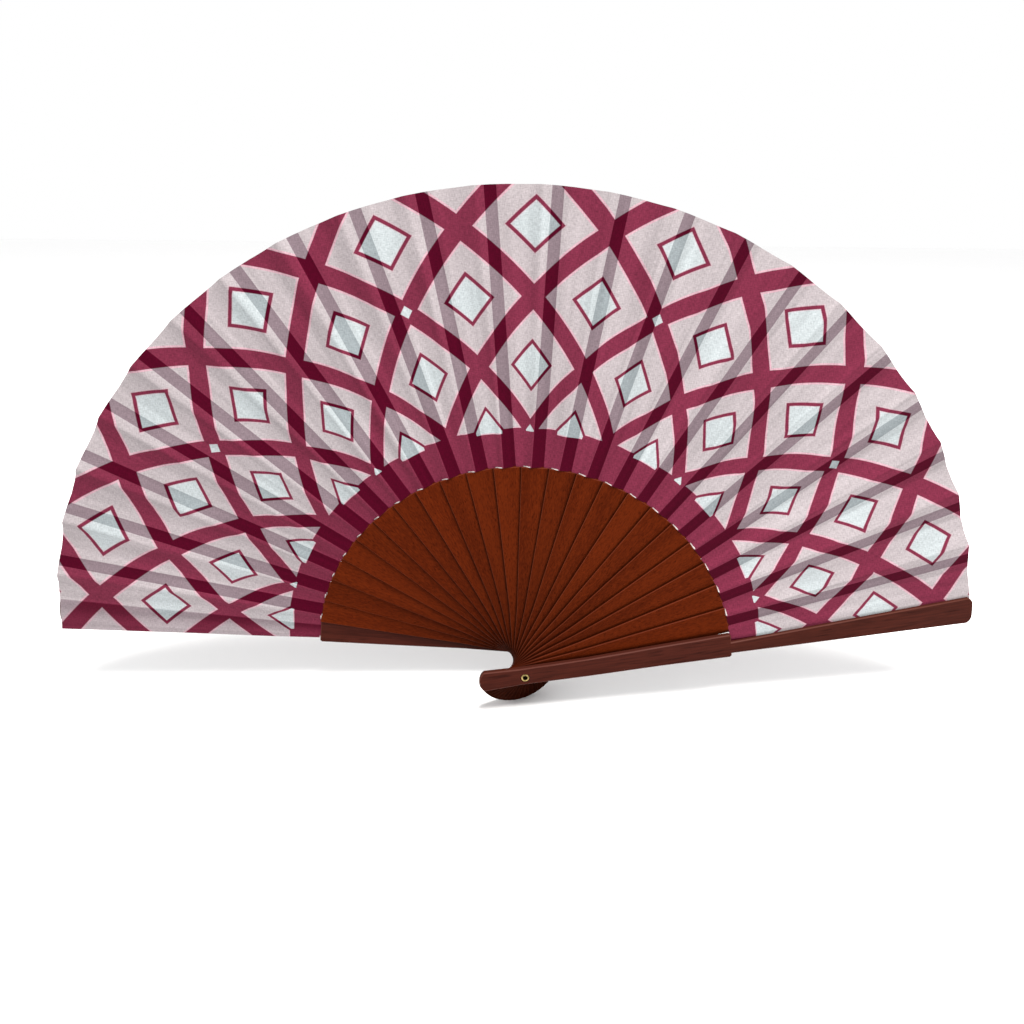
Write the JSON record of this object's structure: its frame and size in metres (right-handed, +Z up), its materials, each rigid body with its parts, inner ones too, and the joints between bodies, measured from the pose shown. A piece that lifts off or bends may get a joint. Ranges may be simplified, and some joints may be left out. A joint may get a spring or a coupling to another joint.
{
  "type": "folding hand fan",
  "caption": "Open folding hand fan: overlapping plain wooden ribs between two guards, turning on one hollow brass rivet, with a pleated printed cotton leaf.",
  "frame": {"origin": "middle of the rivet, on the axis that every stick turns about, halfway through the stack of sticks", "axes": "+X to the right and +Z up in the plane of the open fan, with +Z along its middle; -Y out of the front, printed side, along the rivet"},
  "size_m": [0.4166, 0.0308, 0.2297],
  "materials": {
    "rib_wood": "plain sanded red-brown hardwood with fine dark pores, satin",
    "guard_wood": "darker plum-brown hardwood with lengthwise grain and eased edges, satin",
    "leaf_cotton": "thin plain-weave cotton printed with a crimson lattice on pale pink-beige, matt, white at the cut edges",
    "brass": "turned brass, slightly dulled"
  },
  "bodies": {
    "rear_guard": {"rear_guard": "guard_wood", "rivet": "brass", "rivet_washer": "brass", "leaf_fold_01": "leaf_cotton"},
    "rib_01": {"rib_01": "rib_wood", "leaf_fold_02": "leaf_cotton"},
    "rib_02": {"rib_02": "rib_wood", "leaf_fold_03": "leaf_cotton"},
    "rib_03": {"rib_03": "rib_wood", "leaf_fold_04": "leaf_cotton"},
    "rib_04": {"rib_04": "rib_wood", "leaf_fold_05": "leaf_cotton"},
    "rib_05": {"rib_05": "rib_wood", "leaf_fold_06": "leaf_cotton"},
    "rib_06": {"rib_06": "rib_wood", "leaf_fold_07": "leaf_cotton"},
    "rib_07": {"rib_07": "rib_wood", "leaf_fold_08": "leaf_cotton"},
    "rib_08": {"rib_08": "rib_wood", "leaf_fold_09": "leaf_cotton"},
    "rib_09": {"rib_09": "rib_wood", "leaf_fold_10": "leaf_cotton"},
    "rib_10": {"rib_10": "rib_wood", "leaf_fold_11": "leaf_cotton"},
    "rib_11": {"rib_11": "rib_wood", "leaf_fold_12": "leaf_cotton"},
    "rib_12": {"rib_12": "rib_wood", "leaf_fold_13": "leaf_cotton"},
    "rib_13": {"rib_13": "rib_wood", "leaf_fold_14": "leaf_cotton"},
    "rib_14": {"rib_14": "rib_wood", "leaf_fold_15": "leaf_cotton"},
    "rib_15": {"rib_15": "rib_wood", "leaf_fold_16": "leaf_cotton"},
    "rib_16": {"rib_16": "rib_wood", "leaf_fold_17": "leaf_cotton"},
    "rib_17": {"rib_17": "rib_wood", "leaf_fold_18": "leaf_cotton"},
    "rib_18": {"rib_18": "rib_wood", "leaf_fold_19": "leaf_cotton"},
    "rib_19": {"rib_19": "rib_wood", "leaf_fold_20": "leaf_cotton"},
    "rib_20": {"rib_20": "rib_wood", "leaf_fold_21": "leaf_cotton"},
    "rib_21": {"rib_21": "rib_wood", "leaf_fold_22": "leaf_cotton"},
    "rib_22": {"rib_22": "rib_wood", "leaf_fold_23": "leaf_cotton"},
    "front_guard": {"front_guard": "guard_wood"}
  },
  "joints": [
    {"name": "open_01", "type": "hinge", "parent": "rear_guard", "child": "rib_01", "pos_m": [0, 0, 0], "axis": [0, -1, 0], "range_deg": [0, 7.2], "deforming": ["leaf_fold_01"]},
    {"name": "open_02", "type": "hinge", "parent": "rib_01", "child": "rib_02", "pos_m": [0, 0, 0], "axis": [0, -1, 0], "range_deg": [0, 7.2], "deforming": ["leaf_fold_02"]},
    {"name": "open_03", "type": "hinge", "parent": "rib_02", "child": "rib_03", "pos_m": [0, 0, 0], "axis": [0, -1, 0], "range_deg": [0, 7.2], "deforming": ["leaf_fold_03"]},
    {"name": "open_04", "type": "hinge", "parent": "rib_03", "child": "rib_04", "pos_m": [0, 0, 0], "axis": [0, -1, 0], "range_deg": [0, 7.2], "deforming": ["leaf_fold_04"]},
    {"name": "open_05", "type": "hinge", "parent": "rib_04", "child": "rib_05", "pos_m": [0, 0, 0], "axis": [0, -1, 0], "range_deg": [0, 7.2], "deforming": ["leaf_fold_05"]},
    {"name": "open_06", "type": "hinge", "parent": "rib_05", "child": "rib_06", "pos_m": [0, 0, 0], "axis": [0, -1, 0], "range_deg": [0, 7.2], "deforming": ["leaf_fold_06"]},
    {"name": "open_07", "type": "hinge", "parent": "rib_06", "child": "rib_07", "pos_m": [0, 0, 0], "axis": [0, -1, 0], "range_deg": [0, 7.2], "deforming": ["leaf_fold_07"]},
    {"name": "open_08", "type": "hinge", "parent": "rib_07", "child": "rib_08", "pos_m": [0, 0, 0], "axis": [0, -1, 0], "range_deg": [0, 7.2], "deforming": ["leaf_fold_08"]},
    {"name": "open_09", "type": "hinge", "parent": "rib_08", "child": "rib_09", "pos_m": [0, 0, 0], "axis": [0, -1, 0], "range_deg": [0, 7.2], "deforming": ["leaf_fold_09"]},
    {"name": "open_10", "type": "hinge", "parent": "rib_09", "child": "rib_10", "pos_m": [0, 0, 0], "axis": [0, -1, 0], "range_deg": [0, 7.2], "deforming": ["leaf_fold_10"]},
    {"name": "open_11", "type": "hinge", "parent": "rib_10", "child": "rib_11", "pos_m": [0, 0, 0], "axis": [0, -1, 0], "range_deg": [0, 7.2], "deforming": ["leaf_fold_11"]},
    {"name": "open_12", "type": "hinge", "parent": "rib_11", "child": "rib_12", "pos_m": [0, 0, 0], "axis": [0, -1, 0], "range_deg": [0, 7.2], "deforming": ["leaf_fold_12"]},
    {"name": "open_13", "type": "hinge", "parent": "rib_12", "child": "rib_13", "pos_m": [0, 0, 0], "axis": [0, -1, 0], "range_deg": [0, 7.2], "deforming": ["leaf_fold_13"]},
    {"name": "open_14", "type": "hinge", "parent": "rib_13", "child": "rib_14", "pos_m": [0, 0, 0], "axis": [0, -1, 0], "range_deg": [0, 7.2], "deforming": ["leaf_fold_14"]},
    {"name": "open_15", "type": "hinge", "parent": "rib_14", "child": "rib_15", "pos_m": [0, 0, 0], "axis": [0, -1, 0], "range_deg": [0, 7.2], "deforming": ["leaf_fold_15"]},
    {"name": "open_16", "type": "hinge", "parent": "rib_15", "child": "rib_16", "pos_m": [0, 0, 0], "axis": [0, -1, 0], "range_deg": [0, 7.2], "deforming": ["leaf_fold_16"]},
    {"name": "open_17", "type": "hinge", "parent": "rib_16", "child": "rib_17", "pos_m": [0, 0, 0], "axis": [0, -1, 0], "range_deg": [0, 7.2], "deforming": ["leaf_fold_17"]},
    {"name": "open_18", "type": "hinge", "parent": "rib_17", "child": "rib_18", "pos_m": [0, 0, 0], "axis": [0, -1, 0], "range_deg": [0, 7.2], "deforming": ["leaf_fold_18"]},
    {"name": "open_19", "type": "hinge", "parent": "rib_18", "child": "rib_19", "pos_m": [0, 0, 0], "axis": [0, -1, 0], "range_deg": [0, 7.2], "deforming": ["leaf_fold_19"]},
    {"name": "open_20", "type": "hinge", "parent": "rib_19", "child": "rib_20", "pos_m": [0, 0, 0], "axis": [0, -1, 0], "range_deg": [0, 7.2], "deforming": ["leaf_fold_20"]},
    {"name": "open_21", "type": "hinge", "parent": "rib_20", "child": "rib_21", "pos_m": [0, 0, 0], "axis": [0, -1, 0], "range_deg": [0, 7.2], "deforming": ["leaf_fold_21"]},
    {"name": "open_22", "type": "hinge", "parent": "rib_21", "child": "rib_22", "pos_m": [0, 0, 0], "axis": [0, -1, 0], "range_deg": [0, 7.2], "deforming": ["leaf_fold_22"]},
    {"name": "open_23", "type": "hinge", "parent": "rib_22", "child": "front_guard", "pos_m": [0, 0, 0], "axis": [0, -1, 0], "range_deg": [0, 7.2], "deforming": ["leaf_fold_23"]}
  ],
  "couplings": [
    {"joint": "open_02", "follows": "open_01", "ratio": 1},
    {"joint": "open_03", "follows": "open_01", "ratio": 1},
    {"joint": "open_04", "follows": "open_01", "ratio": 1},
    {"joint": "open_05", "follows": "open_01", "ratio": 1},
    {"joint": "open_06", "follows": "open_01", "ratio": 1},
    {"joint": "open_07", "follows": "open_01", "ratio": 1},
    {"joint": "open_08", "follows": "open_01", "ratio": 1},
    {"joint": "open_09", "follows": "open_01", "ratio": 1},
    {"joint": "open_10", "follows": "open_01", "ratio": 1},
    {"joint": "open_11", "follows": "open_01", "ratio": 1},
    {"joint": "open_12", "follows": "open_01", "ratio": 1},
    {"joint": "open_13", "follows": "open_01", "ratio": 1},
    {"joint": "open_14", "follows": "open_01", "ratio": 1},
    {"joint": "open_15", "follows": "open_01", "ratio": 1},
    {"joint": "open_16", "follows": "open_01", "ratio": 1},
    {"joint": "open_17", "follows": "open_01", "ratio": 1},
    {"joint": "open_18", "follows": "open_01", "ratio": 1},
    {"joint": "open_19", "follows": "open_01", "ratio": 1},
    {"joint": "open_20", "follows": "open_01", "ratio": 1},
    {"joint": "open_21", "follows": "open_01", "ratio": 1},
    {"joint": "open_22", "follows": "open_01", "ratio": 1},
    {"joint": "open_23", "follows": "open_01", "ratio": 1}
  ]
}
